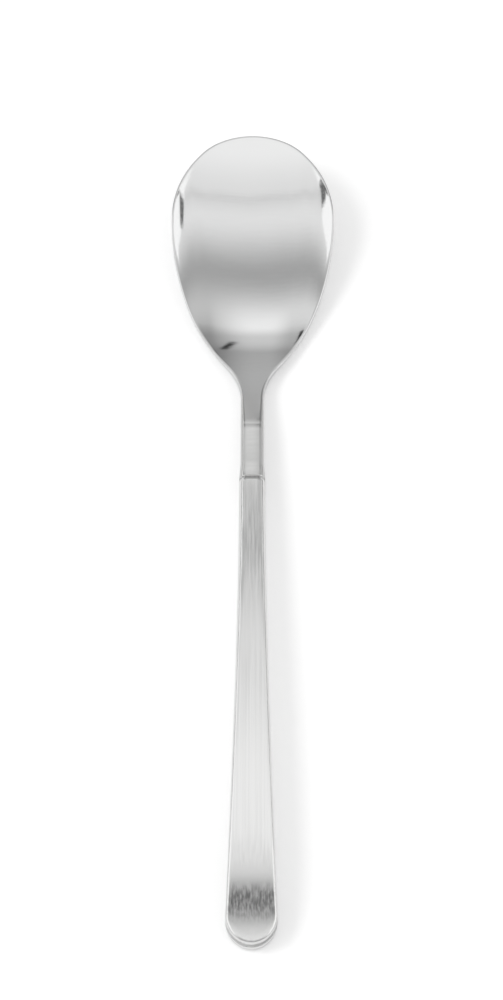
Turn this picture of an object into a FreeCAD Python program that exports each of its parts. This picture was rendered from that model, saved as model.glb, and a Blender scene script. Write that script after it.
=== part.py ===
import FreeCAD, Part
import Sketcher
import os

from FreeCAD import Placement, Rotation, Vector

# A polished serving spoon with a hollow satin handle. It lies bowl up on a flat surface:
# X across, Y from the handle's tip to the bowl's nose, Z up, origin under the middle of its length.

doc = FreeCAD.newDocument("serving_spoon")
sheet = doc.addObject("Spreadsheet::Sheet", "sizes")

# Driving dimensions in millimetres, angles in degrees.
driving = [
    ("head_length", 141.0, "from the handle's mouth to the nose of the bowl"),
    ("bowl_width", 60.2, "widest place of the bowl"),
    ("nose_radius", 33.0, "end of the bowl, seen from above"),
    ("nose_half_width", 17.5, "where the nose turns into the shoulder, from the middle"),
    ("nose_to_side", 28.0, "from the nose to the straight stretch of the side"),
    ("nose_to_flank", 34.0, "from the nose to the end of that stretch"),
    ("flank_radius", 90.0, "long side of the bowl, seen from above"),
    ("neck_radius", 14.5, "hollow curve from the bowl into the neck"),
    ("nose_to_lowest", 71.6, "from the nose to the lowest place of the bowl"),
    ("rise_radius", 135.0, "bowl's middle line, from its lowest place to the nose"),
    ("sweep_radius", 60.0, "bowl's middle line, from its lowest place to the neck"),
    ("neck_angle", 12.0, "climb of the neck"),
    ("floor_radius", 90.0, "bowl's cross-section in the middle"),
    ("floor_half_width", 16.0, "half the width of that middle arc"),
    ("side_radius", 28.0, "bowl's cross-section towards the rim"),
    ("gauge", 2.0, "thickness of the bowl"),
    ("rim_round", 0.8, "rounding of the bowl's rim"),
    ("stem_width", 8.4, "neck and stem"),
    ("round_stem_length", 19.0, "round stretch of the stem, from the handle's mouth"),
    ("shoulder_to_mouth", 26.0, "place where the flat neck begins to thicken"),
    ("neck_to_mouth", 36.5, "middle of the flat neck"),
    ("root_to_mouth", 49.0, "place where the neck leaves the bowl"),
    ("toe_to_mouth", 60.0, "place where the neck's thickening runs out under the bowl"),
    ("neck_thickness", 4.4, "flat neck in its middle"),
    ("shoulder_thickness", 6.4, "neck where it begins to thicken"),
    ("oval_thickness", 7.8, "stem where its round stretch begins"),
    ("root_thickness", 2.8, "neck where it leaves the bowl"),
    ("neck_corner", 1.2, "rounding along the flat neck"),
    ("flare_length", 4.0, "cone at the stem's foot"),
    ("joint_thickness", 0.6, "brazed joint between stem and handle"),
    ("handle_length", 177.0, "from its mouth to its tip"),
    ("mouth_width", 9.3, "handle at its mouth"),
    ("mouth_height", 9.3, "handle at its mouth"),
    ("mouth_corner", 4.4, "rounding of the handle's section at its mouth"),
    ("tip_width", 17.7, "handle at its round end"),
    ("tip_height", 7.6, "handle at its round end"),
    ("tip_corner", 1.2, "rounding of the handle's section at its end"),
    ("flare_power", 1.75, "how late the handle widens, 1 is evenly"),
    ("crown_to_tip", 59.0, "from the handle's highest place to its tip"),
    ("arch_radius", 1900.0, "long arch of the handle"),
    ("bend_to_tip", 37.0, "from the start of the downward bend to the tip"),
    ("bend_radius", 105.0, "downward bend at the handle's end"),
    ("handle_wall", 1.0, "sheet of the handle's shells"),
    ("weld_width", 0.5, "seam between the two shells"),
    ("tang_length", 62.0, "bar inside the handle"),
    ("tang_width", 4.6, "tang at the mouth"),
    ("tang_end_width", 3.4, "tang at its end"),
    ("notch_radius", 0.8, "keying notches in the tang"),
    ("notch_pitch", 16.0, "distance between them"),
    ("cement_length", 70.0, "potting round the tang"),
]
for row, (alias, number, note) in enumerate(driving, start=1):
    sheet.set(f"A{row}", alias)
    sheet.set(f"B{row}", str(number))
    sheet.set(f"C{row}", note)
    sheet.setAlias(f"B{row}", alias)
doc.recompute()


# Derived places and sizes, as expressions of the sheet.
mouth = "((sizes.handle_length - sizes.head_length) / 2)"
nose = f"({mouth} + sizes.head_length)"
tip = f"({mouth} - sizes.handle_length)"
stem_foot = f"({mouth} + sizes.joint_thickness)"
lowest = f"({nose} - sizes.nose_to_lowest)"
bowl_half = "(sizes.bowl_width / 2)"
stem_half = "(sizes.stem_width / 2)"
tip_radius = "(sizes.tip_width / 2)"
tip_centre = f"({tip} + {tip_radius})"
blank_margin = 3.0  # metal outside the outline before it is cut
blank_half = f"({bowl_half} + {blank_margin})"
nose_margin = "4 deg"  # past the nose before it is cut
least_corner = 0.3
foot_inside = f"({stem_foot} + sizes.flare_length / 2)"
# Sections of the handle: shares of its stretch up to the round end, then of that end's radius.
stations = [(0, 0), (0.2, 0), (0.4, 0), (0.6, 0), (0.76, 0), (0.88, 0), (1, 0), (1, 1), (1, 1.3)]
upright = Rotation(Vector(1, 0, 0), 90)


def value(expression):
    result = sheet.evalExpression(expression)
    return float(getattr(result, "Value", result))


def bind(thing, **expressions):
    for name, expression in expressions.items():
        thing.setExpression(name.replace("_", "."), expression)


def drop(y):
    """How far the handle's middle line lies below its highest place."""
    past = f"(({tip} + sizes.bend_to_tip) - {y})"
    arch = f"(({y} - ({tip} + sizes.crown_to_tip))^2 / (2 * sizes.arch_radius))"
    return f"({arch} + (({past} > 0) ? ({past}^2 / (2 * sizes.bend_radius)) : 0))"


def middle(y):
    """Height of the handle's middle line, with the tip's underside on the table."""
    return f"(sizes.tip_height / 2 + {drop(tip)} - {drop(y)})"


def neck_top(y):
    """Height of the neck's upper face, in line with the bowl's middle line."""
    start = f"({lowest} - sizes.sweep_radius * sin(sizes.neck_angle))"
    height = "(sizes.gauge + sizes.sweep_radius * (1 - cos(sizes.neck_angle)))"
    return f"({height} + ({start} - {y}) * tan(sizes.neck_angle))"


class Outline:
    """A closed or open sketch of lines and arcs whose sizes follow the sheet."""

    def __init__(self, name, rotation):
        self.sketch = doc.addObject("Sketcher::SketchObject", name)
        self.sketch.Placement = Placement(Vector(), rotation)

    def line(self, start, end):
        return self.sketch.addGeometry(Part.LineSegment(Vector(*start, 0), Vector(*end, 0)), False)

    def arc(self, start, on_way, end):
        arc = Part.Arc(Vector(*start, 0), Vector(*on_way, 0), Vector(*end, 0))
        return self.sketch.addGeometry(arc, False)

    def rule(self, kind, *items):
        return self.sketch.addConstraint(Sketcher.Constraint(kind, *items))

    def size(self, kind, *items, by):
        index = self.rule(kind, *items, value(by))
        label = f"size{index}"
        self.sketch.renameConstraint(index, label)
        self.sketch.setExpression(f"Constraints.{label}", by)

    def end(self, piece, point):
        """Which end of an arc or line lies at a point: 1 is its start, 2 its end."""
        start = self.sketch.getPoint(piece, 1)
        return 1 if start.distanceToPoint(Vector(*point, 0)) < 1e-6 else 2

    def join(self, first, second, point, smooth=True):
        kind = "Tangent" if smooth else "Coincident"
        self.rule(kind, first, self.end(first, point), second, self.end(second, point))


def rounded_section(name, y, centre, width, height, corner):
    """Rounded rectangle across the spoon, centred over the middle line."""
    outline = Outline(name, upright)
    w, t, r = value(width) / 2, value(height) / 2, value(corner)
    near = r * (1 - 0.5**0.5)
    top = outline.line((-w + r, t), (w - r, t))
    right = outline.line((w, t - r), (w, -t + r))
    bottom = outline.line((w - r, -t), (-w + r, -t))
    left = outline.line((-w, -t + r), (-w, t - r))
    sides = [top, right, bottom, left]
    corners = []
    for across, up, first, second in ((1, 1, top, right), (1, -1, right, bottom),
                                      (-1, -1, bottom, left), (-1, 1, left, top)):
        flat = (across * (w - r), up * t)
        steep = (across * w, up * (t - r))
        start, end = (flat, steep) if across * up > 0 else (steep, flat)
        arc = outline.arc(start, (across * (w - near), up * (t - near)), end)
        outline.join(first, arc, start)
        outline.join(arc, second, end)
        corners.append(arc)
    for kind, side in zip(("Horizontal", "Vertical", "Horizontal", "Vertical"), sides):
        outline.rule(kind, side)
    for arc in corners[1:]:
        outline.rule("Equal", corners[0], arc)
    outline.size("Radius", corners[0], by=corner)
    outline.size("DistanceX", -1, 1, right, 1, by=f"({width}) / 2")
    outline.size("DistanceX", left, 1, -1, 1, by=f"({width}) / 2")
    outline.size("DistanceY", -1, 1, top, 1, by=f"({height}) / 2")
    outline.size("DistanceY", bottom, 1, -1, 1, by=f"({height}) / 2")
    bind(outline.sketch, Placement_Base_y=y, Placement_Base_z=centre)
    return outline.sketch


def loft(name, sections):
    body = doc.addObject("Part::Loft", name)
    body.Sections = sections
    body.Solid = True
    body.MaxDegree = 3
    return body


def boolean(kind, name, base, tool):
    body = doc.addObject(f"Part::{kind}", name)
    body.Base, body.Tool = base, tool
    return body


def fuse(name, shapes):
    body = doc.addObject("Part::MultiFuse", name)
    body.Shapes = shapes
    return body


# --- bowl -----------------------------------------------------------------------------------

def bowl_section(name, rotation, y, z):
    """Curved band across the bowl: a shallow floor arc and two tighter side arcs, one gauge thick."""
    outline = Outline(name, rotation)
    hub = "((sizes.floor_radius - sizes.side_radius) * sizes.floor_half_width / sizes.floor_radius)"
    reach = f"(({blank_half} - {hub}) / sizes.side_radius)"
    floor, side = value("sizes.floor_radius"), value("sizes.side_radius")
    turn = value("sizes.floor_half_width") / floor
    hub_x, end_sine = value(hub), value(reach)
    hub_y = floor - (floor - side) * (1 - turn**2) ** 0.5

    def on_floor(sine, offset):
        return ((floor + offset) * sine, floor - (floor + offset) * (1 - sine**2) ** 0.5)

    def on_side(sine, offset, hand):
        radius = side + offset
        return (hand * (hub_x + radius * sine), hub_y - radius * (1 - sine**2) ** 0.5)

    middle_sine = (turn + end_sine) / 2
    ends = {}
    floors = []
    for offset, extra in ((0.0, "0"), (value("sizes.gauge"), "sizes.gauge")):
        start, end = on_floor(-turn, offset), on_floor(turn, offset)
        base = outline.arc(start, on_floor(0, offset), end)
        floors.append(base)
        if offset:
            outline.rule("Coincident", floors[0], 3, base, 3)
        else:
            outline.rule("PointOnObject", base, 3, -2)
            outline.size("DistanceY", -1, 1, base, 3, by="sizes.floor_radius")
        outline.size("Radius", base, by=f"sizes.floor_radius + {extra}")
        turn_x = f"sizes.floor_half_width * (sizes.floor_radius + {extra}) / sizes.floor_radius"
        end_x = f"{hub} + (sizes.side_radius + {extra}) * {reach}"
        for hand, joint in ((-1, start), (1, end)):
            far = on_side(end_sine, offset, hand)
            wing = outline.arc(joint, on_side(middle_sine, offset, hand), far)
            outline.join(base, wing, joint)
            outline.size("Radius", wing, by=f"sizes.side_radius + {extra}")
            joint_end = (base, outline.end(base, joint))
            wing_end = (wing, outline.end(wing, far))
            origin = (-1, 1)
            for place, by in ((joint_end, turn_x), (wing_end, end_x)):
                order = origin + place if hand > 0 else place + origin
                outline.size("DistanceX", *order, by=by)
            ends.setdefault(hand, []).append((wing, far))
    for (upper, upper_end), (lower, lower_end) in ends.values():
        edge = outline.line(upper_end, lower_end)
        outline.join(upper, edge, upper_end, smooth=False)
        outline.join(edge, lower, lower_end, smooth=False)
    bind(outline.sketch, Placement_Base_y=y, Placement_Base_z=z)
    return outline.sketch


def head_outline():
    """The head seen from above, from the nose round the bowl to the straight neck."""
    outline = Outline("head_outline", Rotation())
    nose_y, side_y = value(nose), value(f"{nose} - sizes.nose_to_side")
    flank_y, end_y = value(f"{nose} - sizes.nose_to_flank"), value(f"{mouth} + sizes.neck_to_mouth")
    radius, half, nose_x = value("sizes.nose_radius"), value(bowl_half), value("sizes.nose_half_width")
    flank, hollow, stem = value("sizes.flank_radius"), value("sizes.neck_radius"), value(stem_half)
    nose_cos = (1 - (nose_x / radius) ** 2) ** 0.5
    shoulder = (half - nose_x) / (1 - nose_x / radius)
    shoulder_start = (nose_x, nose_y - radius + radius * nose_cos)
    side_y = shoulder_start[1] - shoulder * nose_cos
    # The flank arc and the hollow neck arc touch where the line of their centres crosses them.
    across = half - flank - (stem + hollow)
    along = ((flank + hollow) ** 2 - across**2) ** 0.5
    touch = (half - flank - across * flank / (flank + hollow), flank_y - along * flank / (flank + hollow))
    neck_end = (stem, flank_y - along)

    def turned(centre, point, other):
        """The middle of the arc between two points round a centre."""
        towards = Vector(point[0] + other[0] - 2 * centre[0], point[1] + other[1] - 2 * centre[1], 0)
        reach = Vector(point[0] - centre[0], point[1] - centre[1], 0).Length
        towards.normalize()
        return (centre[0] + reach * towards.x, centre[1] + reach * towards.y)

    def mirrored(point, hand):
        return (hand * point[0], point[1])

    cap = outline.arc(mirrored(shoulder_start, -1), (0, nose_y), shoulder_start)
    outline.rule("PointOnObject", cap, 3, -2)
    outline.size("Radius", cap, by="sizes.nose_radius")
    outline.size("DistanceY", -1, 1, cap, 3, by=f"{nose} - sizes.nose_radius")
    feet = []
    for hand in (1, -1):
        def place(point):
            return mirrored(point, hand)
        wide, low, joint, foot = (half, side_y), (half, flank_y), touch, (stem, end_y)
        shoulder_mid = turned((half - shoulder, side_y), shoulder_start, wide)
        flank_mid = turned((half - flank, flank_y), low, joint)
        hollow_mid = turned((stem + hollow, neck_end[1]), joint, neck_end)
        shoulder_arc = outline.arc(place(shoulder_start), place(shoulder_mid), place(wide))
        side = outline.line(place(wide), place(low))
        flank_arc = outline.arc(place(low), place(flank_mid), place(joint))
        hollow_arc = outline.arc(place(joint), place(hollow_mid), place(neck_end))
        neck = outline.line(place(neck_end), place(foot))
        chain = [cap, shoulder_arc, side, flank_arc, hollow_arc, neck]
        points = [shoulder_start, wide, low, joint, neck_end]
        for first, second, point in zip(chain, chain[1:], points):
            outline.join(first, second, place(point))
        outline.rule("Vertical", side)
        outline.rule("Vertical", neck)
        outline.size("Radius", flank_arc, by="sizes.flank_radius")
        outline.size("Radius", hollow_arc, by="sizes.neck_radius")
        origin = (-1, 1)
        for place_at, by in (((cap, outline.end(cap, place(shoulder_start))), "sizes.nose_half_width"),
                             ((side, 1), bowl_half), ((neck, 1), stem_half)):
            order = origin + place_at if hand > 0 else place_at + origin
            outline.size("DistanceX", *order, by=by)
        outline.size("DistanceY", -1, 1, side, 2, by=f"{nose} - sizes.nose_to_flank")
        outline.size("DistanceY", -1, 1, neck, 2, by=f"{mouth} + sizes.neck_to_mouth")
        feet.append((neck, place(foot)))
    (right, right_foot), (left, left_foot) = feet
    base = outline.line(right_foot, left_foot)
    outline.join(right, base, right_foot, smooth=False)
    outline.join(base, left, left_foot, smooth=False)
    return outline.sketch


def make_bowl():
    across = bowl_section("bowl_section", upright, lowest, "sizes.gauge")
    turns = []
    for name, way, radius, angle in (
        ("bowl_rise", 1, "sizes.rise_radius",
         f"asin(sizes.nose_to_lowest / sizes.rise_radius) + {nose_margin}"),
        ("bowl_sweep", -1, "sizes.sweep_radius", "sizes.neck_angle"),
    ):
        turn = doc.addObject("Part::Revolution", name)
        turn.Source, turn.Solid, turn.Axis = across, True, Vector(way, 0, 0)
        bind(turn, Base_y=lowest, Base_z=f"sizes.gauge + {radius}", Angle=angle)
        turns.append(turn)
    neck_y = f"{lowest} - sizes.sweep_radius * sin(sizes.neck_angle)"
    tilted = bowl_section("neck_section", upright, neck_y, neck_top(f"({neck_y})"))
    tilted.Placement.Rotation = Rotation(Vector(1, 0, 0), 90 - value("sizes.neck_angle"))
    tilted.setExpression("Placement.Rotation.Angle", "90 - sizes.neck_angle")
    strip = doc.addObject("Part::Extrusion", "neck_strip")
    strip.Base, strip.DirMode, strip.Solid = tilted, "Normal", True
    bind(strip, LengthFwd=f"({neck_y} - {mouth} - sizes.shoulder_to_mouth) / cos(sizes.neck_angle)")
    blank = fuse("bowl_blank", turns + [strip])
    prism = doc.addObject("Part::Extrusion", "outline_prism")
    prism.Base, prism.DirMode, prism.Solid, prism.Symmetric = head_outline(), "Normal", True, True
    bind(prism, LengthFwd="sizes.bowl_width * 2")
    cut = boolean("Common", "bowl_cut", blank, prism)
    doc.recompute()
    rounded = doc.addObject("Part::Fillet", "bowl")
    rounded.Base = cut
    radius = min(value("sizes.rim_round"), value("sizes.gauge") * 0.45)
    rounded.Edges = [(index, radius, radius) for index in rim_edges(cut.Shape, prism.Shape)]
    return rounded


def rim_edges(bowl, prism):
    """Numbers of the long edges round the bowl, above and below its cut rim."""
    walls = []
    for face in prism.Faces:
        u_start, u_end, v_start, v_end = face.ParameterRange
        if abs(face.normalAt((u_start + u_end) / 2, (v_start + v_end) / 2).z) < 0.5:
            walls.append(face)
    root = value(f"{mouth} + sizes.root_to_mouth")
    found = []
    for index, edge in enumerate(bowl.Edges, start=1):
        start, end = edge.valueAt(edge.FirstParameter), edge.valueAt(edge.LastParameter)
        halfway = edge.valueAt((edge.FirstParameter + edge.LastParameter) / 2)
        upright_edge = (end - start).cross(Vector(0, 0, 1)).Length < 0.05
        if halfway.y > root and not upright_edge:
            if min(wall.distToShape(Part.Vertex(halfway))[0] for wall in walls) < 1e-4:
                found.append(index)
    return found


def make_head(tang):
    """Bowl, neck, stem and tang in one forging."""
    bowl = make_bowl()
    stem = "sizes.stem_width"
    foot = stem_foot
    stations = [
        # name, distance from the mouth, width, thickness, corner, height of the upper face
        ("toe", "sizes.toe_to_mouth", f"{stem} * 0.8", "sizes.gauge * 0.6", "sizes.gauge * 0.2",
         f"{{top}} - sizes.gauge * 0.2"),
        ("root", "sizes.root_to_mouth", stem, "sizes.root_thickness", "sizes.neck_corner * 0.8", "{top}"),
        ("neck", "sizes.neck_to_mouth", stem, "sizes.neck_thickness", "sizes.neck_corner", "{top}"),
        ("shoulder", "sizes.shoulder_to_mouth", stem, "sizes.shoulder_thickness",
         "sizes.neck_corner * 1.8", "{top}"),
    ]
    sections = []
    for name, distance, width, thickness, corner, height in stations:
        y = f"({mouth} + {distance})"
        centre = f"{height.format(top=neck_top(y))} - ({thickness}) / 2"
        sections.append(rounded_section(f"{name}_section", y, centre, width, thickness, corner))
    y = f"({foot} + sizes.round_stem_length)"
    thickness = "sizes.oval_thickness"
    sections.append(rounded_section("oval_section", y, f"{middle(y)} + ({stem} - {thickness}) / 2", stem,
                                    thickness, f"{thickness} * 0.44"))
    for name, distance in (("stem_start", "(sizes.round_stem_length + sizes.flare_length) / 2"),
                           ("stem_end", "sizes.flare_length")):
        y = f"({foot} + {distance})"
        sections.append(rounded_section(f"{name}_section", y, middle(y), stem, stem, f"{stem_half} * 0.97"))
    stem_end = sections[-1]
    foot_section = rounded_section("foot_section", foot, middle(foot), "sizes.mouth_width",
                                   "sizes.mouth_height", "sizes.mouth_corner")
    neck = loft("neck_and_stem", sections)
    flare = loft("stem_flare", [stem_end, foot_section])
    return fuse("spoon_head", [bowl, neck, flare, tang])


def make_tang():
    """Tapered square bar that the potting grips by its notches."""
    ends = []
    for name, y, width in (("tang_root", foot_inside, "sizes.tang_width"),
                           ("tang_tip", f"({mouth} - sizes.tang_length)", "sizes.tang_end_width")):
        ends.append(rounded_section(f"{name}_section", y, middle(y), width, width, f"({width}) * 0.15"))
    bar = loft("tang_bar", ends)
    notched = bar
    for index in range(3):
        y = f"({mouth} - sizes.notch_pitch * {index + 0.75})"
        for hand in (-1, 1):
            notch = doc.addObject("Part::Cylinder", f"notch{index}{'left' if hand < 0 else 'right'}")
            side = f"{hand} * sizes.tang_width / 2"
            bind(notch, Radius="sizes.notch_radius", Height="sizes.tang_width * 2",
                 Placement_Base_x=side, Placement_Base_y=y,
                 Placement_Base_z=f"{middle(y)} - sizes.tang_width")
            notched = boolean("Cut", f"tang_notched{index}{'left' if hand < 0 else 'right'}", notched, notch)
    return notched


# --- handle ---------------------------------------------------------------------------------

def handle_station(share, past):
    """Place, width, height and corner of the handle's section."""
    y = f"({mouth} - {share} * ({mouth} - {tip_centre}) - {past} * {tip_radius})"
    width = f"(sizes.mouth_width + (sizes.tip_width - sizes.mouth_width) * {share}^sizes.flare_power)"
    height = f"(sizes.mouth_height + (sizes.tip_height - sizes.mouth_height) * {share})"
    corner = f"(sizes.mouth_corner + (sizes.tip_corner - sizes.mouth_corner) * {share})"
    return y, width, height, corner


def handle_blank(name, inset):
    """Closed form of the handle, drawn in all round by an inset, with its end cut round."""
    sections = []
    for index, station in enumerate(stations):
        y, width, height, corner = handle_station(*station)
        smaller = f"({corner} - {inset})"
        corner = f"(({smaller} > {least_corner}) ? {smaller} : {least_corner})"
        sections.append(rounded_section(f"{name}_section{index}", y, middle(y), f"{width} - 2 * {inset}",
                                        f"{height} - 2 * {inset}", corner))
    blank = loft(f"{name}_blank", sections)
    reach, room = f"({tip_radius} - {inset})", "(sizes.handle_length)"
    end = doc.addObject("Part::Cylinder", f"{name}_end")
    bind(end, Radius=reach, Height=room, Placement_Base_y=tip_centre,
         Placement_Base_z=f"-{room} / 2")
    stretch = doc.addObject("Part::Box", f"{name}_stretch")
    bind(stretch, Length=f"2 * {reach}", Width=f"{mouth} - {tip_centre}", Height=room,
         Placement_Base_x=f"-{reach}", Placement_Base_y=tip_centre, Placement_Base_z=f"-{room} / 2")
    return boolean("Common", f"{name}_form", blank, fuse(f"{name}_outline", [end, stretch]))


def parting_block(name, hand):
    """All that lies above or below the seam along the handle's middle line."""
    depth = "(sizes.tip_width * 2)"
    sections = []
    for index, station in enumerate(stations):
        y, width, height, corner = handle_station(*station)
        centre = f"{middle(y)} + {hand} * ({depth} + sizes.weld_width) / 2"
        sections.append(rounded_section(f"{name}_section{index}", y, centre, depth, depth, "1"))
    return loft(name, sections)


def make_handle():
    outer = handle_blank("handle_outside", "0")
    inner = handle_blank("handle_inside", "sizes.handle_wall")
    wall = boolean("Cut", "handle_sheet", outer, inner)
    above, below = parting_block("above_seam", 1), parting_block("below_seam", -1)
    top = boolean("Common", "handle_top_shell", wall, above)
    bottom = boolean("Common", "handle_bottom_shell", wall, below)
    seam = boolean("Cut", "seam_weld", boolean("Cut", "sheet_below_top", wall, above), below)
    return top, bottom, seam, inner


def make_joint(head_tang, cavity):
    """Brazed disc at the handle's mouth, and the potting that fills the handle round the tang."""
    y, width, height, corner = handle_station(*stations[0])
    face = rounded_section("mouth_section", y, middle(y), width, height, corner)
    disc = doc.addObject("Part::Extrusion", "joint_disc")
    disc.Base, disc.DirMode, disc.Reversed, disc.Solid = face, "Normal", True, True
    bind(disc, LengthFwd="sizes.joint_thickness")
    ring = boolean("Cut", "mouth_braze_ring", disc, head_tang)
    fill = doc.addObject("Part::Box", "cement_stretch")
    bind(fill, Length="sizes.tip_width * 2", Width="sizes.cement_length", Height="sizes.tip_width * 4",
         Placement_Base_x="-sizes.tip_width", Placement_Base_y=f"{mouth} - sizes.cement_length",
         Placement_Base_z="-sizes.tip_width")
    potting = boolean("Cut", "tang_cement", boolean("Common", "cavity_fill", cavity, fill), head_tang)
    return ring, potting


# --- assembly -------------------------------------------------------------------------------

def check_and_write(pieces):
    doc.recompute()
    for thing in doc.Objects:
        if {"Invalid", "Error"} & set(thing.State):
            raise RuntimeError(f"{thing.Name} failed: {thing.State}")
    os.makedirs("parts", exist_ok=True)
    for piece in pieces:
        shape = piece.Shape
        if shape.isNull() or not shape.isValid() or len(shape.Solids) != 1:
            raise RuntimeError(f"{piece.Label} isn't one valid solid")
        shape.exportStep(f"parts/{piece.Label}.step")
        box = shape.optimalBoundingBox()
        print(f"{piece.Label}: {shape.Volume:.0f} mm3, x {box.XMin:.2f} {box.XMax:.2f},"
              f" y {box.YMin:.2f} {box.YMax:.2f}, z {box.ZMin:.2f} {box.ZMax:.2f}")


tang = make_tang()
head = make_head(tang)
top, bottom, seam, cavity = make_handle()
ring, potting = make_joint(tang, cavity)
check_and_write([head, top, bottom, seam, ring, potting])
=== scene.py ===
import bmesh
import bpy
import math
from mathutils import Matrix, Vector


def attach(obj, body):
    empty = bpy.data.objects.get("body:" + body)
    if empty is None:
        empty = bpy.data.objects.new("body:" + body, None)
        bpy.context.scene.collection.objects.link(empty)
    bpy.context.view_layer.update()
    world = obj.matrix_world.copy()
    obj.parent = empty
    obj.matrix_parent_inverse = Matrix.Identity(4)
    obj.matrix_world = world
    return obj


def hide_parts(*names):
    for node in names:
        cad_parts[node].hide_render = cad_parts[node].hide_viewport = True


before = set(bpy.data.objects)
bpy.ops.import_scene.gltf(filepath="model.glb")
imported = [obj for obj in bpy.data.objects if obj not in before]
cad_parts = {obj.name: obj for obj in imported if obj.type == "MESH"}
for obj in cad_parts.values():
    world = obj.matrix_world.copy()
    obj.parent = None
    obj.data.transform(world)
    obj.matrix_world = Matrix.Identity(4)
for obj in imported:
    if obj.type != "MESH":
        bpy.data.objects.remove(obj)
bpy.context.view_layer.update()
mm = 0.001

# The spoon lies along Y with its bowl at +Y, open upwards.
# Sizes are in millimetres unless a note says otherwise.
print("frame loaded:", ", ".join(sorted(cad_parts)))


class Wire:
    # one output socket; sums on it add Math nodes to its board
    def __init__(self, board, socket):
        self.board = board
        self.socket = socket

    def __add__(self, other):
        return self.board.maths("ADD", self, other)

    def __radd__(self, other):
        return self.board.maths("ADD", other, self)

    def __sub__(self, other):
        return self.board.maths("SUBTRACT", self, other)

    def __rsub__(self, other):
        return self.board.maths("SUBTRACT", other, self)

    def __mul__(self, other):
        return self.board.maths("MULTIPLY", self, other)

    def __rmul__(self, other):
        return self.board.maths("MULTIPLY", other, self)

    def __truediv__(self, other):
        return self.board.maths("DIVIDE", self, other)

    def __pow__(self, other):
        return self.board.maths("POWER", self, other)


class Board:
    # a node tree, and the one way that nodes are put on it
    def __init__(self, tree):
        self.tree = tree

    def node(self, kind, settings=None, inputs=None, output=0):
        made = self.tree.nodes.new(kind)
        for name, value in (settings or {}).items():
            if name == "stops":
                self.fillRamp(made.color_ramp, value)
            elif name == "easing":
                made.color_ramp.interpolation = value
            else:
                setattr(made, name, value)
        for name, value in (inputs or {}).items():
            if isinstance(value, Wire):
                self.tree.links.new(value.socket, made.inputs[name])
            else:
                made.inputs[name].default_value = value
        return Wire(self, made.outputs[output]) if made.outputs else None

    def fillRamp(self, ramp, stops):
        while len(ramp.elements) < len(stops):
            ramp.elements.new(1.0)
        for element, (place, tone) in zip(ramp.elements, stops):
            element.position = place
            element.color = (tone, tone, tone, 1)

    def maths(self, operation, *values):
        return self.node("ShaderNodeMath", {"operation": operation}, dict(enumerate(values)))

    def limit(self, value):
        # the value kept between 0 and 1
        return self.maths("MINIMUM", self.maths("MAXIMUM", value, 0.0), 1.0)

    def between(self, value, low, high):
        # 0 at low and 1 at high, smooth between them
        return self.node("ShaderNodeMapRange", {"interpolation_type": "SMOOTHSTEP"},
                         {"Value": value, "From Min": low, "From Max": high})

    def window(self, value, first, last, blur):
        # 1 from first to last, with a blur to each side of both ends
        risen = self.between(value, first - blur, first + blur)
        return risen * self.between(value, last + blur, last - blur)

    def mixed(self, share, first, second):
        # a number part of the way from first to second
        return first + (second - first) * share

    def tint(self, share, first, second):
        # a colour part of the way from first to second, each a wire or three numbers
        first, second = (value if isinstance(value, Wire) else (*value, 1) for value in (first, second))
        return self.node("ShaderNodeMix", {"data_type": "RGBA"}, {0: share, 6: first, 7: second}, 2)

    def split(self, vector, axis):
        return self.node("ShaderNodeSeparateXYZ", None, {"Vector": vector}, axis)

    def join(self, x, y, z):
        return self.node("ShaderNodeCombineXYZ", None, {"X": x, "Y": y, "Z": z})


# metres and degrees
cameraSizes = {
    "distance": 1.300, "elevation": 61.25, "aimRise": 0.541, "roll": 0.11, "focal": 130.75,
    "target": (0.0, 0.001, 0.0), "aside": -0.00025, "reach": 20.0,
}


def placeCamera(sizes):
    lift = math.radians(sizes["elevation"])
    away = Vector((0, -math.cos(lift), math.sin(lift))) * sizes["distance"]
    data = bpy.data.cameras.new("photoCamera")
    data.lens = sizes["focal"]
    data.clip_end = sizes["reach"]
    camera = bpy.data.objects.new("photoCamera", data)
    bpy.context.scene.collection.objects.link(camera)
    tilt = math.radians(90 - sizes["elevation"] + sizes["aimRise"])
    turn = Matrix.Rotation(tilt, 4, "X") @ Matrix.Rotation(math.radians(sizes["roll"]), 4, "Z")
    place = Vector(sizes["target"]) + away + Vector((sizes["aside"], 0, 0))
    camera.matrix_world = Matrix.Translation(place) @ turn
    bpy.context.scene.camera = camera


placeCamera(cameraSizes)
print("camera placed")


def smooth(value, low, high):
    # 0 at low and 1 at high, smooth between them; low may be the larger one
    share = min(1.0, max(0.0, (value - low) / (high - low)))
    return share * share * (3 - 2 * share)


def curveThrough(stations):
    # a smooth line through (place, value) pairs, which never overshoots them and is straight past its ends
    places = [place for place, value in stations]
    values = [value for place, value in stations]
    steps = [(b - a) / (q - p) for p, q, a, b in zip(places, places[1:], values, values[1:])]
    slopes = [steps[0]]
    for before, after in zip(steps, steps[1:]):
        slopes.append(0.0 if before * after <= 0 else 2 * before * after / (before + after))
    slopes.append(steps[-1])

    def valueAt(place):
        if place <= places[0]:
            return values[0] + slopes[0] * (place - places[0])
        if place > places[-1]:
            return values[-1] + slopes[-1] * (place - places[-1])
        index = next(i for i in range(len(steps)) if place <= places[i + 1])
        span = places[index + 1] - places[index]
        t = (place - places[index]) / span
        return (values[index] * (1 + 2 * t) * (1 - t) ** 2 + slopes[index] * span * t * (1 - t) ** 2
                + values[index + 1] * t * t * (3 - 2 * t) + slopes[index + 1] * span * t * t * (t - 1))

    return valueAt


def gridFaces(rows, columns):
    # the faces between rows of closed rings
    faces = []
    for row in range(rows - 1):
        for column in range(columns):
            a = row * columns + column
            b = row * columns + (column + 1) % columns
            faces.append((a, b, b + columns, a + columns))
    return faces


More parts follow.
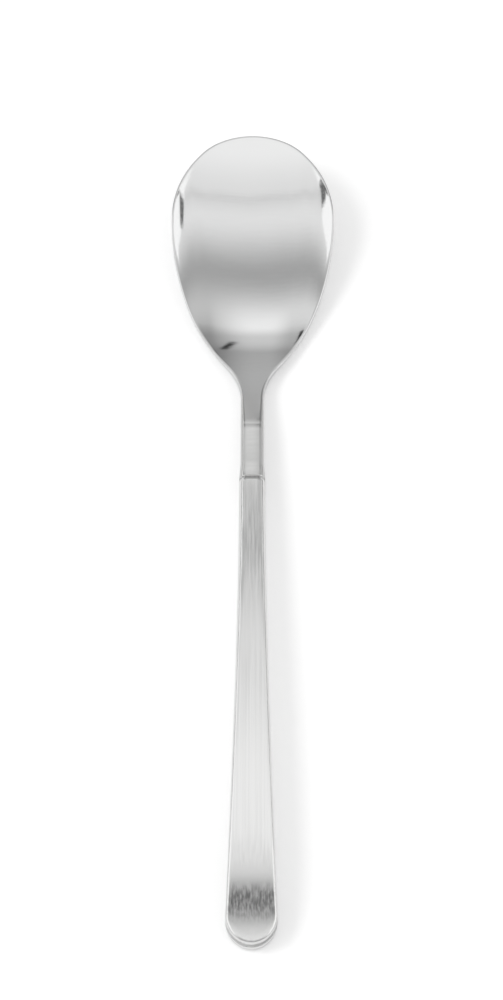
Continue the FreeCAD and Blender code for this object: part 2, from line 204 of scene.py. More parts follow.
def closeAndFaceOut(mesh, gap):
    # points closer than the gap become one, open ends are closed, and faces point outwards
    work = bmesh.new()
    work.from_mesh(mesh)
    bmesh.ops.remove_doubles(work, verts=work.verts, dist=gap * mm)
    bmesh.ops.holes_fill(work, edges=[e for e in work.edges if e.is_boundary], sides=0)
    bmesh.ops.recalc_face_normals(work, faces=work.faces)
    work.to_mesh(mesh)
    work.free()
    mesh.shade_smooth()


# two half shells and the weld between them; widening is a power, and beadShare a share of the weld's width
handleSizes = {
    "tipY": -159.0, "mouthY": 18.0, "crownY": -100.0, "archRadius": 1900.0, "bendY": -122.0,
    "bendRadius": 105.0, "mouthWidth": 9.3, "endWidth": 17.7, "widening": 1.75,
    "mouthHeight": 9.3, "endHeight": 7.6, "mouthCorner": 2.8, "endCorner": 1.2, "leastCorner": 0.25,
    "wall": 1.0, "weld": 0.5, "beadShare": 0.6,
}


def handleDrop(y):
    h = handleSizes
    past = max(0.0, h["bendY"] - y)
    return (y - h["crownY"]) ** 2 / (2 * h["archRadius"]) + past ** 2 / (2 * h["bendRadius"])


def handleMiddle(y):
    # how high the middle of the handle lies
    h = handleSizes
    return h["endHeight"] / 2 + handleDrop(h["tipY"]) - handleDrop(y)


# bowl, neck and stem are one polished piece; noseArcs gives each arc's radius and the turn at which it ends
bowlSizes = {
    "noseY": 159.0, "noseArcs": ((32.0, 22.0), (22.0, 44.0)), "halfWidth": 30.1, "flankY": 126.0,
    "flankRadius": 92.0, "neckRadius": 23.0, "stemHalf": 4.2, "lowestY": 87.4, "gauge": 2.0,
    "riseRadius": 136.8, "sweepRadius": 60.0, "neckAngle": 11.5, "floorRadius": 90.0,
    "floorHalf": 16.0, "sideRadius": 28.0, "easing": 7.0, "rimLift": 0.00013, "rim": 0.8, "footY": 18.6,
}

# a bow is the square of the distance from the middle, over the rise there
stemSizes = {
    "flareY": 24.8, "footHalf": 4.65, "topShare": 0.35, "easeDepth": 0.14, "easeGap": 0.28,
    "endY": 60.0, "crownFrom": 54.0, "crownTo": 38.0, "stemBow": 60.0, "neckBow": 200.0,
    "bowlFrom": 58.0, "bowlTo": 84.0, "wallFrom": 76.0,
}

# how the head's mesh is laid out: places along Y, counts of rows, and the turn where the nose's rim begins
headRows = {
    "evenTo": 52.0, "sheetFrom": 66.0, "swellFrom": 90.0, "cornerTurn": 47.0, "stem": 120, "sheet": 150,
    "across": 90, "edge": 7, "edgeShare": 0.49, "mergeGap": 0.0005,
}

# the radius of the head's edge, and the height of the neck's underside up to the bowl's sheet, along Y
edgeRound = curveThrough([(18.6, 2.4), (22.6, 1.7), (30.0, 1.6), (38.0, 1.6), (44.0, 1.5), (54.5, 1.15),
                          (64.0, 0.85), (70.0, 0.8), (160.0, 0.8)])
underLine = curveThrough([(18.6, 2.92), (22.6, 3.0), (30.1, 2.58), (37.6, 2.50), (44.0, 3.45),
                          (54.5, 3.25), (62.0, 2.62), (67.0, 2.19), (74.93, 1.311)])
tangStations = ((-44.0, 0.36), (-20.0, 0.42), (6.0, 0.47), (17.9, 0.49), (18.55, 0.5))  # share of the stem


def noseChain():
    # the arcs from the nose tip to the widest place: centre, radius and the turn at which each ends
    b = bowlSizes
    x, y, start, radiusBefore = 0.0, b["noseY"], 0.0, 0.0
    chain = []
    for radius, turn in b["noseArcs"] + ((None, 90.0),):
        end = math.radians(turn)
        if radius is None:  # the last arc has to reach the widest place
            rim = x + radiusBefore * math.sin(start)
            radius = (b["halfWidth"] - rim) / (1 - math.sin(start))
        x += (radiusBefore - radius) * math.sin(start)
        y += (radiusBefore - radius) * math.cos(start)
        chain.append((x, y, radius, end))
        start, radiusBefore = end, radius
    return chain


def flankParts():
    # where the hollow of the neck touches the flank, and where it ends
    b = bowlSizes
    across = b["halfWidth"] - b["flankRadius"] - b["stemHalf"] - b["neckRadius"]
    along = math.sqrt((b["flankRadius"] + b["neckRadius"]) ** 2 - across ** 2)
    return {
        "hollowY": b["flankY"] - along,
        "touch": b["flankY"] - along * b["flankRadius"] / (b["flankRadius"] + b["neckRadius"]),
    }


noseParts = noseChain()
flank = flankParts()


def outlineHalf(y):
    # half the head's width
    b = bowlSizes
    for centreX, centreY, radius, end in noseParts:
        if y >= centreY + radius * math.cos(end):
            return centreX + math.sqrt(max(0.0, radius ** 2 - (y - centreY) ** 2))
    if y >= b["flankY"]:
        return b["halfWidth"]
    if y >= flank["touch"]:
        return b["halfWidth"] - b["flankRadius"] + math.sqrt(b["flankRadius"] ** 2 - (b["flankY"] - y) ** 2)
    if y >= flank["hollowY"]:
        rest = y - flank["hollowY"]
        return b["stemHalf"] + b["neckRadius"] - math.sqrt(b["neckRadius"] ** 2 - rest ** 2)
    flare = smooth(y, stemSizes["flareY"], b["footY"])
    return b["stemHalf"] + flare * (stemSizes["footHalf"] - b["stemHalf"])


def outlinePoint(turn):
    # a point round the nose and its direction out; turn is 0 at the nose tip, in degrees
    side = 1 if turn >= 0 else -1
    angle = math.radians(abs(turn))
    centreX, centreY, radius = next(arc[:3] for arc in noseParts if angle <= arc[3])
    x, y = math.sin(angle), math.cos(angle)
    return Vector((side * (centreX + radius * x), centreY + radius * y, 0)), Vector((side * x, y, 0))


def sidesAt(y):
    # the left and the right point of the outline, each with its direction out
    step = 0.05
    half = outlineHalf(y)
    slope = (outlineHalf(y + step) - outlineHalf(y - step)) / (2 * step)
    return [(Vector((side * half, y, 0)), Vector((side, -slope, 0)).normalized()) for side in (-1, 1)]


def bowlLine(y):
    # the upper face along the middle of the bowl and the neck
    b = bowlSizes
    if y >= b["lowestY"]:
        return b["gauge"] + b["riseRadius"] - math.sqrt(b["riseRadius"] ** 2 - (y - b["lowestY"]) ** 2)
    angle = math.radians(b["neckAngle"])
    reach = b["sweepRadius"] * math.sin(angle)
    back = b["lowestY"] - y
    if back <= reach:
        return b["gauge"] + b["sweepRadius"] - math.sqrt(b["sweepRadius"] ** 2 - back ** 2)
    return b["gauge"] + b["sweepRadius"] * (1 - math.cos(angle)) + (back - reach) * math.tan(angle)


def crossRise(x):
    # how far the bowl's section rises beside its middle: a wide floor, then a tighter side
    b = bowlSizes
    x = abs(x)
    start = b["floorHalf"] - b["easing"] / 2
    flat = 1 / b["floorRadius"]
    extra = 1 / b["sideRadius"] - flat
    past = max(0.0, x - start)
    inside = min(past, b["easing"])
    rise = flat * x * x / 2 + extra * inside ** 3 / (6 * b["easing"])
    if past > b["easing"]:
        rest = past - b["easing"]
        rise += extra * (b["easing"] * rest / 2 + rest * rest / 2)
    return rise * (1 + b["rimLift"] * x * x)


def stemLine(y):
    # the top of the stem: the handle's line, cut down by the flat of the neck
    s = stemSizes
    flare = smooth(y, s["flareY"], bowlSizes["footY"])
    swell = (s["footHalf"] - bowlSizes["stemHalf"]) * s["topShare"]
    roundTop = handleMiddle(y) + bowlSizes["stemHalf"] + flare * swell
    flatTop = bowlLine(y)
    gap = abs(roundTop - flatTop)
    ease = s["easeDepth"] * max(0.0, 1 - gap / s["easeGap"]) ** 2
    return min(roundTop, flatTop) - ease


def upperFace(x, y):
    s = stemSizes
    if y < s["endY"]:
        crown = smooth(y, s["crownFrom"], s["crownTo"])
        return stemLine(y) + x * x * ((1 - crown) / s["neckBow"] - crown / s["stemBow"])
    fade = smooth(y, s["bowlFrom"], s["bowlTo"])
    return bowlLine(y) + fade * crossRise(x) + (1 - fade) * x * x / s["neckBow"]


def lowerFace(x, y):
    s = stemSizes
    if y < s["wallFrom"]:
        fade = smooth(y, s["bowlFrom"], s["bowlTo"])
        return underLine(y) + fade * crossRise(x) + (1 - fade) * x * x / s["neckBow"]
    step = 0.02
    along = (upperFace(x, y + step) - upperFace(x, y - step)) / (2 * step)
    across = (upperFace(x + step, y) - upperFace(x - step, y)) / (2 * step)
    slant = math.sqrt(1 + across ** 2 + along ** 2 * smooth(y, s["wallFrom"], s["bowlTo"]))
    return upperFace(x, y) - bowlSizes["gauge"] * slant


def roundedEdge(outline, out, radius, face, depth):
    # a quarter turn from the face to the upright wall, without its two ends
    pull = 0.5523  # makes a cubic curve a quarter circle
    inner = outline - out * radius
    top = Vector((inner.x, inner.y, face(inner.x, inner.y)))
    corner = Vector((outline.x, outline.y, face(outline.x, outline.y)))
    wall = corner - Vector((0, 0, depth))
    first = top.lerp(corner, pull)
    second = wall.lerp(corner, pull)
    points = []
    for index in range(1, headRows["edge"] + 1):
        t = index / headRows["edge"]
        points.append(top * (1 - t) ** 3 + first * 3 * t * (1 - t) ** 2
                      + second * 3 * t * t * (1 - t) + wall * t ** 3)
    return points


def edgeAt(outline, out, largest):
    # the rounded edge from the upper face to the lower one, and its radius
    thick = upperFace(outline.x, outline.y) - lowerFace(outline.x, outline.y)
    radius = min(largest, headRows["edgeShare"] * thick)
    upper = roundedEdge(outline, out, radius, upperFace, radius)
    lower = roundedEdge(outline, out, radius, lowerFace, -radius)
    return upper + lower[::-1], radius


def ringOf(sides, spread):
    # one closed ring: upper face left to right, right edge, lower face back, left edge
    edges, inner = [], []
    for outline, out in sides:
        edge, radius = edgeAt(outline, out, edgeRound(outline.y))
        edges.append(edge)
        inner.append(outline - out * radius)
    upper, lower = [], []
    for index in range(headRows["across"] + 1):
        plan = spread(*inner, index / headRows["across"])
        upper.append(Vector((plan.x, plan.y, upperFace(plan.x, plan.y))))
        lower.append(Vector((plan.x, plan.y, lowerFace(plan.x, plan.y))))
    return upper + edges[1] + lower[::-1] + edges[0][::-1]


def respaced(ring, even):
    # slides a ring's points along it towards even spacing
    shortest = 1e-9  # keeps the share finite where two points meet
    closed = ring + [ring[0]]
    lengths = [0.0]
    for a, b in zip(closed, closed[1:]):
        lengths.append(lengths[-1] + (b - a).length)
    moved = []
    index = 0
    for count in range(len(ring)):
        wanted = lengths[count] * (1 - even) + lengths[-1] * count / len(ring) * even
        while lengths[index + 1] < wanted:
            index += 1
        while lengths[index] > wanted:
            index -= 1
        share = (wanted - lengths[index]) / max(shortest, lengths[index + 1] - lengths[index])
        moved.append(closed[index].lerp(closed[index + 1], share))
    return moved


def stemRings():
    rows, footY = headRows, bowlSizes["footY"]
    rings = []
    for index in range(rows["stem"] + 1):
        y = footY + (rows["sheetFrom"] - footY) * index / rows["stem"]
        ring = ringOf(sidesAt(y), lambda left, right, share: left.lerp(right, share))
        rings.append(respaced(ring, 1 - smooth(y, rows["evenTo"], rows["sheetFrom"])))
    return rings


def tangRings(foot):
    # the tang, hidden in the handle, goes on from the ring at the stem's foot
    footMiddle = Vector((0, bowlSizes["footY"], handleMiddle(bowlSizes["footY"])))
    rings = []
    for y, share in tangStations:
        middle = Vector((0, y, handleMiddle(y)))
        rings.append([middle + Vector((p.x * share, 0, (p.z - footMiddle.z) * share)) for p in foot])
    return rings


def noseTurn(index):
    # the turn at a column of the nose, from its left corner to its right one
    return headRows["cornerTurn"] * (2 * index / headRows["across"] - 1)


def sheetRings():
    # rows across the bowl, which bend to the line of the nose's rim as they come near it
    rows, columns = headRows, headRows["across"]
    noseLine = []
    for index in range(columns + 1):
        point, out = outlinePoint(noseTurn(index))
        noseLine.append(point - out * bowlSizes["rim"])
    cornerY = outlinePoint(rows["cornerTurn"])[0].y

    def bulge(share):
        place = share * columns
        low = min(int(place), columns - 1)
        point = noseLine[low].lerp(noseLine[low + 1], place - low)
        return point - noseLine[0].lerp(noseLine[-1], share)

    rings = []
    for index in range(1, rows["sheet"] + 1):
        y = rows["sheetFrom"] + (cornerY - rows["sheetFrom"]) * index / rows["sheet"]
        swell = max(0.0, (y - rows["swellFrom"]) / (cornerY - rows["swellFrom"])) ** 2
        rings.append(ringOf(sidesAt(y), lambda left, right, share: (
            left.lerp(right, share) + bulge(share) * swell)))
    return rings


def closeNose(points, faces, last, size):
    # the rounded rim round the nose, from the upper row of the last ring to its lower row
    columns, edge = headRows["across"], headRows["edge"]
    previous = None
    for index in range(columns + 1):
        if index == 0:
            rim = [last + size - 1 - k for k in range(2 * edge)]
        elif index == columns:
            rim = [last + columns + 1 + k for k in range(2 * edge)]
        else:
            rim = list(range(len(points), len(points) + 2 * edge))
            points += edgeAt(*outlinePoint(noseTurn(index)), bowlSizes["rim"])[0]
        strip = [last + index, *rim, last + 2 * columns + 2 * edge + 1 - index]
        if previous:
            for k in range(len(strip) - 1):
                faces.append((previous[k], previous[k + 1], strip[k + 1], strip[k]))
        previous = strip


def buildHead():
    stem = stemRings()
    rings = tangRings(stem[0]) + stem + sheetRings()
    size = len(rings[0])
    points = [p for ring in rings for p in ring]
    faces = gridFaces(len(rings), size)
    closeNose(points, faces, (len(rings) - 1) * size, size)
    mesh = bpy.data.meshes.new("spoonHead")
    mesh.from_pydata([p * mm for p in points], [], faces)
    closeAndFaceOut(mesh, headRows["mergeGap"])
    piece = bpy.data.objects.new("spoonHead", mesh)
    bpy.context.scene.collection.objects.link(piece)
    return piece


spoonHead = buildHead()
print("head made:", len(spoonHead.data.polygons), "faces")

# The handle's pieces are made by Geometry Nodes, with its sizes as named inputs.
pathRows = {"side": 110, "turn": 48, "bead": 12, "mergeGap": 0.0002}
shellColumns = {"flat": 6, "corner": 9}
handleLengths = {
    "tipY": "Tip Y", "mouthY": "Mouth Y", "crownY": "Crown Y", "archRadius": "Arch Radius",
    "bendY": "Bend Y", "bendRadius": "Bend Radius", "mouthWidth": "Mouth Width",
    "endWidth": "End Width", "mouthHeight": "Mouth Height", "endHeight": "End Height",
    "mouthCorner": "Mouth Corner", "endCorner": "End Corner", "leastCorner": "Least Corner",
    "wall": "Wall", "weld": "Weld",
}


class HandleBoard(Board):
    # the named inputs and the line that both handle trees share
    def __init__(self, name):
        super().__init__(bpy.data.node_groups.new(name, "GeometryNodeTree"))
        face = self.tree.interface
        face.new_socket("Geometry", in_out="INPUT", socket_type="NodeSocketGeometry")
        face.new_socket("Geometry", in_out="OUTPUT", socket_type="NodeSocketGeometry")
        titles = {**handleLengths, "widening": "Widening", "side": "Side", "finish": "Finish"}
        self.keys = {}
        for key, title in titles.items():
            kind = "NodeSocketMaterial" if key == "finish" else "NodeSocketFloat"
            self.keys[key] = face.new_socket(title, in_out="INPUT", socket_type=kind).identifier
        group = self.node("NodeGroupInput").socket.node
        for key, identifier in self.keys.items():
            socket = next(s for s in group.outputs if s.identifier == identifier)
            setattr(self, key, Wire(self, socket))
        self.centreY = self.tipY + self.endWidth / 2

    def path(self, row):
        # how far back a row of the outline starts, its place, its half width and its direction out
        side, turn = pathRows["side"], pathRows["turn"]
        arc = self.limit((row - side) / turn)
        back = self.limit(row / side) - self.limit((row - side - turn) / side)
        length = self.mouthY - self.centreY
        startY = self.mouthY - length * back
        growth = self.endWidth - self.mouthWidth
        half = (self.mouthWidth + growth * back ** self.widening) / 2
        slope = growth * self.widening * self.limit(back) ** (self.widening - 1) / (2 * length)
        lean = self.maths("ARCTANGENT", slope)
        angle = arc * math.pi - lean * (1 - 2 * arc)
        outX = self.maths("COSINE", angle) * -1
        outY = self.maths("SINE", angle) * -1
        return back, startY, half, outX, outY

    def drop(self, y):
        past = self.maths("MAXIMUM", self.bendY - y, 0.0)
        rise = y - self.crownY
        return rise * rise / (2 * self.archRadius) + past * past / (2 * self.bendRadius)

    def middle(self, y):
        return self.endHeight / 2 + self.drop(self.tipY) - self.drop(y)

    def end(self, geometry):
        merged = self.node("GeometryNodeMergeByDistance", None, {
            "Geometry": geometry, "Distance": pathRows["mergeGap"] * mm})
        smoothed = self.node("GeometryNodeSetShadeSmooth", None, {"Geometry": merged})
        real = self.node("GeometryNodeRealizeInstances", None, {"Geometry": smoothed})
        painted = self.node("GeometryNodeSetMaterial", None, {"Geometry": real, "Material": self.finish})
        self.node("NodeGroupOutput", None, {0: painted})

    def make(self, name, side, finish):
        # runs the tree on an empty mesh and keeps the plain result
        piece = bpy.data.objects.new(name, bpy.data.meshes.new(name))
        bpy.context.scene.collection.objects.link(piece)
        modifier = piece.modifiers.new("handle", "NODES")
        modifier.node_group = self.tree
        values = {key: handleSizes[key] * mm for key in handleLengths}
        values.update(widening=handleSizes["widening"], side=side, finish=finish)
        for key, value in values.items():
            modifier[self.keys[key]] = value
        graph = bpy.context.evaluated_depsgraph_get()
        mesh = bpy.data.meshes.new_from_object(piece.evaluated_get(graph))
        piece.modifiers.clear()
        piece.data = mesh
        closeAndFaceOut(mesh, pathRows["mergeGap"])
        return piece


def shellTree():
    board = HandleBoard("handleShell")
    flat, corner = shellColumns["flat"], shellColumns["corner"]
    columns = 2 * (flat + corner + 2)
    rows = 2 * pathRows["side"] + pathRows["turn"] + 1
    grid = board.node("GeometryNodeMeshGrid", None, {
        "Size X": float(columns - 1), "Size Y": float(rows - 1), "Vertices X": columns, "Vertices Y": rows})
    spot = board.node("GeometryNodeInputPosition")
    column = board.maths("ROUND", board.split(spot, 0) + (columns - 1) / 2)
    row = board.maths("ROUND", board.split(spot, 1) + (rows - 1) / 2)
    back, startY, half, outX, outY = board.path(row)

    # columns go from the middle out and down the wall, then back along the inside
    inside = board.maths("GREATER_THAN", column, (columns - 1) / 2)
    step = board.maths("MINIMUM", column, columns - 1 - column)
    depth = board.wall * inside
    corners = board.mixed(back, board.mouthCorner, board.endCorner) - depth
    radius = board.maths("MAXIMUM", corners, board.leastCorner)
    angle = board.limit((step - flat) / corner) * (math.pi / 2)
    reach = board.limit(step / flat) * (half - depth - radius) + radius * board.maths("SINE", angle)
    y = startY + reach * outY
    along = board.limit((board.mouthY - y) / (board.mouthY - board.centreY))
    height = board.mixed(along, board.mouthHeight, board.endHeight) / 2
    face = height - depth - radius * (1 - board.maths("COSINE", angle))
    level = board.mixed(board.limit(step - flat - corner), face, board.weld / 2)
    place = board.join(reach * outX, y, board.middle(y) + board.side * level)
    board.end(board.node("GeometryNodeSetPosition", None, {"Geometry": grid, "Position": place}))
    return board


def seamTree():
    # a round bead that follows the line where the two shells meet
    board = HandleBoard("handleSeam")
    rows = 2 * pathRows["side"] + pathRows["turn"] + 1
    line = board.node("GeometryNodeMeshLine", None, {"Count": rows})
    row = board.node("GeometryNodeInputIndex")
    startY, half, outX, outY = board.path(row)[1:]
    radius = board.weld * handleSizes["beadShare"]
    reach = half - radius
    y = startY + reach * outY
    place = board.join(reach * outX, y, board.middle(y))
    shaped = board.node("GeometryNodeSetPosition", None, {"Geometry": line, "Position": place})
    curve = board.node("GeometryNodeMeshToCurve", None, {"Mesh": shaped})
    bead = board.node("GeometryNodeCurvePrimitiveCircle", None, {
        "Resolution": pathRows["bead"], "Radius": radius})
    board.end(board.node("GeometryNodeCurveToMesh", None, {
        "Curve": curve, "Profile Curve": bead, "Fill Caps": True}))
    return board


class Finish(Board):
    # a material with one Principled shader
    def __init__(self, name, **values):
        self.material = bpy.data.materials.new(name)
        self.material.use_nodes = True
        super().__init__(self.material.node_tree)
        self.shader = next(n for n in self.tree.nodes if n.type == "BSDF_PRINCIPLED")
        for title, value in values.items():
            self.shader.inputs[title.replace("_", " ")].default_value = value

    def place(self, stretch=(1, 1, 1)):
        # metres on the piece, times the stretch
        spot = self.node("ShaderNodeTexCoord", output=3)
        return self.node("ShaderNodeMapping", None, {"Vector": spot, "Scale": stretch})

    def noise(self, scale, detail, rough=0.55, stretch=(1, 1, 1)):
        return self.node("ShaderNodeTexNoise", None, {
            "Vector": self.place(stretch), "Scale": scale, "Detail": detail, "Roughness": rough})

    def feed(self, title, value):
        self.tree.links.new(value.socket, self.shader.inputs[title])

    def bump(self, height, strength, depth=0.1):
        self.feed("Normal", self.node("ShaderNodeBump", None, {
            "Height": height, "Strength": strength, "Distance": depth * mm}))


# In the looks below a noise is its scale, its detail and, where it isn't the usual one, its roughness.
# The surface's own roughness, rough, is a base and what each noise or mask adds to it.
polishedLook = {
    "cloud": (26.0, 3.0), "pale": (0.93, 0.93, 0.925), "cool": (0.90, 0.905, 0.91),
    "stemPaintedShade": (0.74, 0.74, 0.735), "stemFrom": 66.0, "stemTo": 46.0,
    "hairs": (900.0, 5.0, 0.6), "hairStretch": (0.12, 1.0, 1.0), "hairRange": (0.35, 0.75),
    "rough": {"base": 0.05, "hairs": 0.05, "cloud": 0.02, "stem": 0.07}, "relief": 0.05,
}


def polishedSteel():
    # the stem is left rougher than the bowl, and its colour is darkened as painted shade for its darker
    # reflection
    look = polishedLook
    f = Finish("polishedSteel", Metallic=1.0)
    cloud = f.noise(*look["cloud"])
    stem = f.between(f.split(f.place(), 1), look["stemFrom"] * mm, look["stemTo"] * mm)
    # the stem's darker tone is painted shade, not a colour of the steel
    f.feed("Base Color", f.tint(stem, f.tint(cloud, look["pale"], look["cool"]), look["stemPaintedShade"]))
    hairs = f.noise(*look["hairs"], look["hairStretch"])
    rough = look["rough"]
    f.feed("Roughness", rough["base"] + rough["hairs"] * f.between(hairs, *look["hairRange"])
           + rough["cloud"] * cloud + rough["stem"] * stem)
    f.bump(hairs, look["relief"])
    return f.material


satinLook = {
    "brush": (1500.0, 2.0, 0.5), "brushStretch": (1.0, 0.005, 1.0), "brushRange": (0.3, 0.7),
    "cloud": (30.0, 3.0), "dark": (0.88, 0.88, 0.875), "pale": (0.96, 0.96, 0.955),
    "rough": {"base": 0.12, "brush": 0.13, "cloud": 0.03}, "relief": 0.012,
}


def satinSteel():
    # brushed along the handle
    look = satinLook
    f = Finish("satinSteel", Metallic=1.0)
    brush = f.between(f.noise(*look["brush"], look["brushStretch"]), *look["brushRange"])
    rough = look["rough"]
    f.feed("Base Color", f.tint(brush, look["dark"], look["pale"]))
    f.feed("Roughness", rough["base"] + rough["brush"] * brush + rough["cloud"] * f.noise(*look["cloud"]))
    f.bump(brush, look["relief"])
    return f.material


# finishes with nothing but a fine grain in their colour, roughness and relief
grainyLooks = {
    "groundWeld": {
        "metal": 1.0, "grain": (1800.0, 4.0, 0.6), "dark": (0.86, 0.86, 0.85), "pale": (0.95, 0.95, 0.945),
        "rough": {"base": 0.42, "grain": 0.15}, "relief": 0.2, "depth": 0.1,
    },
    "brazeMetal": {
        "metal": 0.9, "grain": (2200.0, 4.0, 0.6), "dark": (0.52, 0.515, 0.51), "pale": (0.66, 0.65, 0.64),
        "rough": {"base": 0.4, "grain": 0.25}, "relief": 0.3, "depth": 0.1,
    },
    "pottingCement": {
        "metal": 0.0, "grain": (900.0, 6.0, 0.7), "dark": (0.42, 0.40, 0.37), "pale": (0.60, 0.58, 0.54),
        "rough": {"base": 0.8, "grain": 0.15}, "relief": 0.5, "depth": 0.2,
    },
}


def grainyFinish(name):
    look = grainyLooks[name]
    f = Finish(name, Metallic=look["metal"])
    grain = f.noise(*look["grain"])
    f.feed("Base Color", f.tint(grain, look["dark"], look["pale"]))
    f.feed("Roughness", look["rough"]["base"] + look["rough"]["grain"] * grain)
    f.bump(grain, look["relief"], look["depth"])
    return f.material


polished, satin = polishedSteel(), satinSteel()
weld, braze, cement = (grainyFinish(name) for name in grainyLooks)
print("finishes made")

shells = shellTree()
handleTop = shells.make("handleTopShell", 1.0, satin)
handleBottom = shells.make("handleBottomShell", -1.0, satin)
seamWeld = seamTree().make("seamWeld", 0.0, weld)
spoonHead.data.materials.append(polished)
print("handle made:", *(len(piece.data.polygons) for piece in (handleTop, handleBottom, seamWeld)), "faces")

for piece, node, slot in (
        (spoonHead, "spoon_head", "polished_steel"), (handleTop, "handle_top_shell", "satin_steel"),
        (handleBottom, "handle_bottom_shell", "satin_steel"), (seamWeld, "seam_weld", "ground_weld")):
    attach(piece, "root")
    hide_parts(node)
for node, finish in (("mouth_braze_ring", braze), ("tang_cement", cement)):
    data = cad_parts[node].data
    data.materials.clear()
    data.materials.append(finish)


# the half width is in metres; glossySeen is how much of the glow the steel sees
floorLook = {
    "grain": (400.0, 3.0), "dark": (0.80, 0.80, 0.80), "pale": (0.81, 0.81, 0.81), "rough": 0.9,
    "glow": 0.315, "glossySeen": 0.15, "half": 3.0,
}


def makeFloor():
    look = floorLook
    f = Finish("paleFloor", Roughness=look["rough"], Specular_IOR_Level=0.0)
    f.feed("Base Color", f.tint(f.noise(*look["grain"]), look["dark"], look["pale"]))
    cameraRay = f.node("ShaderNodeLightPath")
    glossyRay = f.node("ShaderNodeLightPath", output=3)
    seen = f.maths("MAXIMUM", cameraRay, look["glossySeen"] * glossyRay)
    glow = f.node("ShaderNodeEmission", None, {"Color": (1, 1, 1, 1), "Strength": look["glow"]})
    dark = f.node("ShaderNodeEmission", None, {"Color": (0, 0, 0, 1), "Strength": 0.0})
    lit = f.node("ShaderNodeMixShader", None, {0: seen, 1: dark, 2: glow})
    both = f.node("ShaderNodeAddShader", None, {0: Wire(f, f.shader.outputs[0]), 1: lit})
    out = next(n for n in f.tree.nodes if n.type == "OUTPUT_MATERIAL")
    f.tree.links.new(both.socket, out.inputs[0])
    half = look["half"]
    corners = [(-half, -half, 0), (half, -half, 0), (half, half, 0), (-half, half, 0)]
    mesh = bpy.data.meshes.new("floor")
    mesh.from_pydata(corners, [], [(0, 1, 2, 3)])
    mesh.materials.append(f.material)
    floor = bpy.data.objects.new("floor", mesh)
    bpy.context.scene.collection.objects.link(floor)


# tones by the height of a direction, and ranges of a direction's x (across), y (along) and z (up)
roomLook = {
    "walls": [(0.0, 0.14), (0.10, 0.20), (0.20, 0.42), (0.5, 0.60), (1.0, 0.75)],
    "boxAcross": (0.48, 0.52), "boxFoot": (0.15, 0.20), "boxTop": (0.84, 0.80), "boxTone": 1.0,
    "right": (0.0, 0.01), "rightEnd": (0.33, 0.38), "rightLoss": 0.55,
    "standAlong": (-0.05, 0.08), "standUp": (0.49, 0.62), "standBlur": 0.01, "standTone": 0.14,
    "standShift": 0.10, "shiftAcross": (-0.01, 0.01),
}


def makeRoom():
    # a grey room, darker towards the floor, with a pale box on each side and a dark stand in each box
    look = roomLook
    world = bpy.data.worlds.new("studio")
    world.use_nodes = True
    bpy.context.scene.world = world
    b = Board(world.node_tree)
    direction = b.node("ShaderNodeTexCoord")
    x, y, z = (b.split(direction, axis) for axis in range(3))
    walls = b.node("ShaderNodeValToRGB", {"stops": look["walls"]}, {"Fac": z})
    side = b.between(b.maths("ABSOLUTE", x), *look["boxAcross"])
    pastRight = b.between(x, *look["right"]) * b.between(y, *look["rightEnd"])
    box = side * (1 - look["rightLoss"] * pastRight)  # the box on the right fades sooner
    box = box * b.between(z, *look["boxFoot"]) * b.between(z, *look["boxTop"])
    along = y - look["standShift"] * b.between(x, *look["shiftAcross"])
    blur = look["standBlur"]
    stand = b.window(along, *look["standAlong"], blur) * b.window(z, *look["standUp"], blur)
    boxes = b.tint(stand, (look["boxTone"],) * 3, (look["standTone"],) * 3)
    cameraRay = b.node("ShaderNodeLightPath")
    shown = b.tint(cameraRay, b.tint(box, walls, boxes), (1, 1, 1))
    ground = next(n for n in b.tree.nodes if n.type == "BACKGROUND")
    b.tree.links.new(shown.socket, ground.inputs["Color"])
    ground.inputs["Strength"].default_value = 1.0


# the pale ceiling that the steel mirrors
ceilingSizes = {
    "height": 300.0, "from": -500.0, "to": 700.0, "vault": 480.0, "rippleScale": 14.0, "rippleDetail": 3.0,
    "ripple": 9.0, "standLean": 0.35, "standShade": 0.7, "standBlurAcross": 5.0, "standBlurAlong": 8.0,
}
ceilingEdge = [(-500, 120), (30, 150), (140, 370), (200, 400), (300, 540), (700, 600)]  # its half width
ceilingBands = [
    (-245, 0.78), (-185, 0.15), (-160, 0.10), (-110, 0.73), (30, 0.90), (85, 0.77), (93, 0.62), (100, 0.74),
    (115, 0.80), (185, 0.38), (275, 0.90), (350, 0.62), (560, 0.33),
]  # its pale panels and the darker gaps between them, along Y
# each shade darkens one side of it, and each stand is a small dark fitting
ceilingShades = (
    {"strength": 0.56, "along": (190, 300), "across": (-5, 120)},
    {"strength": 0.30, "along": (225, 290), "across": (-35, -95)},
)
ceilingStands = (
    {"across": (48, 66), "along": (385, 470)},
    {"across": (-168, -128), "along": (350, 440)},
)


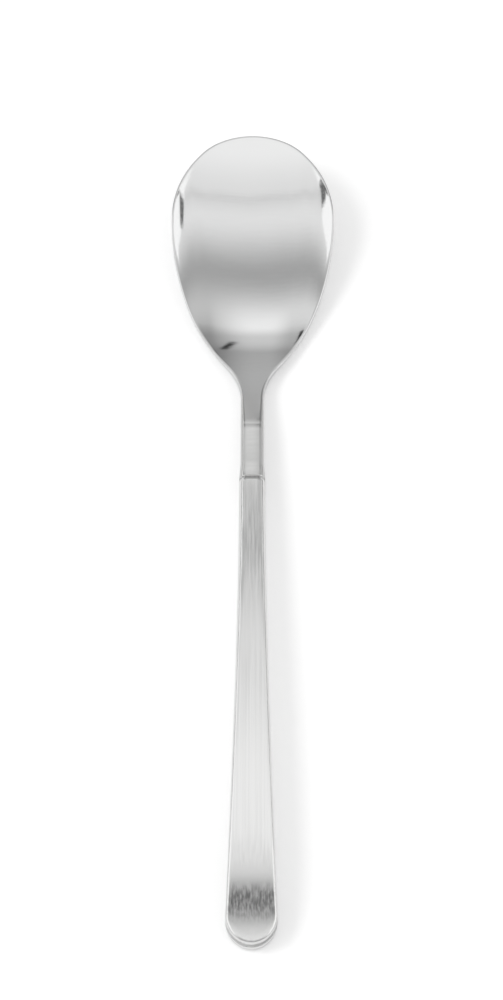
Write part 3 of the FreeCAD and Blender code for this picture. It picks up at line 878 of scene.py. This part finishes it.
def ceilingLook():
    c = ceilingSizes
    material = bpy.data.materials.new("ceiling")
    material.use_nodes = True
    b = Board(material.node_tree)
    b.tree.nodes.clear()
    spot = b.node("ShaderNodeTexCoord", output=3)
    x, y = b.split(spot, 0) / mm, b.split(spot, 1) / mm
    ripple = b.node("ShaderNodeTexNoise", None, {
        "Vector": spot, "Scale": c["rippleScale"], "Detail": c["rippleDetail"]})
    fromMiddle = x / c["vault"]
    along = y / (1 + fromMiddle * fromMiddle) + (ripple - 0.5) * c["ripple"]  # bands bend as on a vault
    span = c["to"] - c["from"]
    stops = [((place - c["from"]) / span, tone) for place, tone in ceilingBands]
    bands = b.node("ShaderNodeValToRGB", {"stops": stops, "easing": "EASE"}, {
        "Fac": (along - c["from"]) / span})
    darkness = 0.0
    for shade in ceilingShades:
        faded = b.between(along, *shade["along"]) * b.between(x, *shade["across"])
        darkness = darkness + shade["strength"] * faded
    for stand in ceilingStands:
        leaning = x - c["standLean"] * (y - sum(stand["along"]) / 2)
        wide = b.window(leaning, *stand["across"], c["standBlurAcross"])
        long = b.window(y, *stand["along"], c["standBlurAlong"])
        darkness = darkness + c["standShade"] * wide * long
    tone = b.tint(b.limit(darkness), bands, (0, 0, 0))
    shine = b.node("ShaderNodeEmission", None, {"Color": tone, "Strength": 1.0})
    b.node("ShaderNodeOutputMaterial", None, {"Surface": shine})
    return material


def makeCeiling():
    # seen only in the steel
    corners = [(-half, place, ceilingSizes["height"]) for place, half in ceilingEdge]
    corners += [(half, place, ceilingSizes["height"]) for place, half in reversed(ceilingEdge)]
    mesh = bpy.data.meshes.new("ceiling")
    mesh.from_pydata([Vector(corner) * mm for corner in corners], [], [tuple(range(len(corners)))])
    mesh.materials.append(ceilingLook())
    ceiling = bpy.data.objects.new("ceiling", mesh)
    bpy.context.scene.collection.objects.link(ceiling)
    ceiling.visible_camera = False
    ceiling.visible_diffuse = False
    ceiling.visible_shadow = False


# metres, watts and degrees
keyLightSizes = {"width": 0.9, "energy": 12.5, "lift": 52.0, "turn": 180.0, "distance": 2.2}


def makeKeyLight():
    # lights the floor and casts the soft shadow; the steel doesn't mirror it
    sizes = keyLightSizes
    data = bpy.data.lights.new("keyLight", "AREA")
    data.shape = "DISK"
    data.size = sizes["width"]
    data.energy = sizes["energy"]
    light = bpy.data.objects.new("keyLight", data)
    light.visible_glossy = False
    bpy.context.scene.collection.objects.link(light)
    lift, turn = math.radians(sizes["lift"]), math.radians(sizes["turn"])
    toLight = Vector((math.cos(lift) * math.cos(turn), math.cos(lift) * math.sin(turn), math.sin(lift)))
    light.location = toLight * sizes["distance"]
    light.rotation_euler = toLight.to_track_quat("Z", "Y").to_euler()


makeFloor()
makeRoom()
makeCeiling()
makeKeyLight()
bpy.context.scene.view_settings.view_transform = "Standard"
print("studio made")
